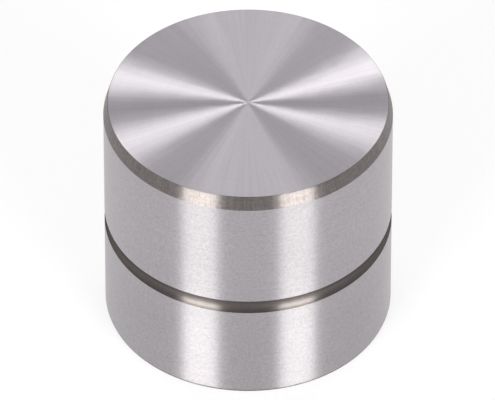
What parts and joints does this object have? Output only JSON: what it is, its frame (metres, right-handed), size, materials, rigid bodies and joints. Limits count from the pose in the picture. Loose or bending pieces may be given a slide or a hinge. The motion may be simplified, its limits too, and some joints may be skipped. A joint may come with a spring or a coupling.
{
  "type": "hydraulic bucket tappet",
  "caption": "Hydraulic bucket tappet: a polished steel cup with an oil groove round its skirt, and inside it a sliding element that takes up valve clearance.",
  "frame": {"origin": "centre of the plane of the skirt's rim, which the tappet stands on", "axes": "+Z along the tappet's axis towards the crown that the cam runs on; +Y towards the oil feed bore"},
  "size_m": [0.028, 0.028, 0.0252],
  "materials": {
    "ground_steel": "ground and turned, bright, slightly lavender grey",
    "drawn_steel": "satin, as drawn from sheet",
    "hardened_steel": "hardened, finely ground, grey",
    "bearing_steel": "polished",
    "spring_wire": "drawn wire, dark grey"
  },
  "bodies": {
    "bucket": {"bucket_shell": "ground_steel", "guide_sleeve": "drawn_steel", "piston": "hardened_steel", "ball_cage": "drawn_steel", "ball_spring": "spring_wire", "return_spring": "spring_wire"},
    "retaining_ring": {"retaining_ring": "spring_wire"},
    "inner_housing": {"inner_housing": "hardened_steel"},
    "check_ball": {"check_ball": "bearing_steel"}
  },
  "joints": [
    {"name": "element_slide", "type": "slide", "parent": "bucket", "child": "retaining_ring", "axis": [0, 0, 1], "range_m": [0, 0.0026], "stiffness_N_per_m": 1200, "springref_m": -0.008, "deforming": ["return_spring"]},
    {"name": "housing_turn", "type": "hinge", "parent": "retaining_ring", "child": "inner_housing", "pos_m": [0, 0, 0.012], "axis": [0, 0, 1], "continuous": true},
    {"name": "ball_lift", "type": "slide", "parent": "bucket", "child": "check_ball", "axis": [0, 0, 1], "range_m": [-0.0003, 0], "stiffness_N_per_m": 400, "springref_m": 0.0008, "deforming": ["ball_spring"]}
  ]
}
